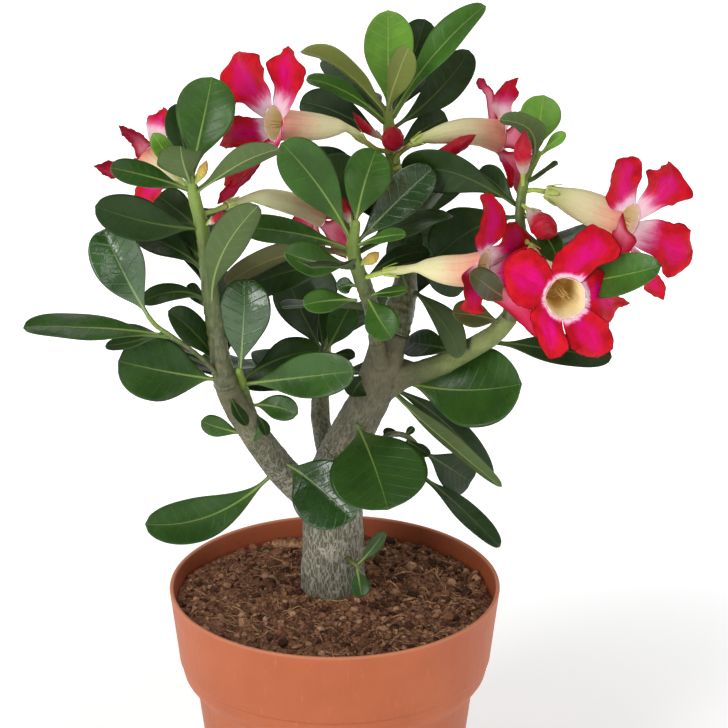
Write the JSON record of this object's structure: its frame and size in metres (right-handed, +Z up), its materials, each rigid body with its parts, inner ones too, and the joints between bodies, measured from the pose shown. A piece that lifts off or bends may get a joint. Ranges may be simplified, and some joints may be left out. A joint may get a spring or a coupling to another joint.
{
  "type": "potted desert rose plant",
  "caption": "Potted desert rose: branching grey-barked succulent with glossy oval leaves and trumpet flowers, rooted in soil in a tapered terracotta-coloured plastic pot.",
  "frame": {"origin": "centre of the pot's flat underside, on the surface it stands on", "axes": "+Z up along the pot's axis, -Y towards the side the picture was taken from, +X to the right as pictured"},
  "size_m": [0.2429, 0.1602, 0.3446],
  "materials": {
    "pot_plastic": "satin",
    "potting_soil": "matte",
    "bark": "matte",
    "green_shoot": "satin",
    "leaf": "satin",
    "petal": "satin",
    "bud_skin": "satin"
  },
  "bodies": {
    "root": {"pot": "pot_plastic", "soil": "potting_soil", "trunk_and_branches": "bark", "flower_upper_left": "petal", "flower_middle_left": "petal", "flower_middle_right": "petal", "flower_front": "petal", "flower_right": "petal", "flower_upper_right": "petal", "flower_far_left": "petal", "bud_top": "bud_skin", "bud_right_upper": "bud_skin", "bud_right": "bud_skin", "bud_behind": "bud_skin", "shoot_top": "green_shoot", "shoot_right": "green_shoot", "shoot_middle": "green_shoot", "shoot_left": "green_shoot", "shoot_back": "green_shoot", "twig_upper_left": "green_shoot", "twig_far_left": "green_shoot", "twig_right": "green_shoot", "sprout_base": "green_shoot", "sprout_branch": "green_shoot", "leaf_top_1": "leaf", "leaf_top_4": "leaf", "leaf_top_5": "leaf", "leaf_top_6": "leaf", "leaf_right_1": "leaf", "leaf_right_5": "leaf", "leaf_right_7": "leaf", "leaf_right_10": "leaf", "leaf_right_13": "leaf", "leaf_right_14": "leaf", "leaf_right_15": "leaf", "leaf_mid_1": "leaf", "leaf_mid_2": "leaf", "leaf_mid_3": "leaf", "leaf_mid_4": "leaf", "leaf_mid_5": "leaf", "leaf_mid_9": "leaf", "leaf_back_5": "leaf", "leaf_left_1": "leaf", "leaf_left_2": "leaf", "leaf_left_3": "leaf", "leaf_left_11": "leaf", "leaf_left_12": "leaf", "leaf_left_14": "leaf", "leaf_left_17": "leaf", "leaf_left_23": "leaf", "leaf_left_27": "leaf", "leaf_low_1": "leaf", "leaf_low_2": "leaf", "leaf_low_3": "leaf", "leaf_low_4": "leaf"}
  },
  "joints": []
}
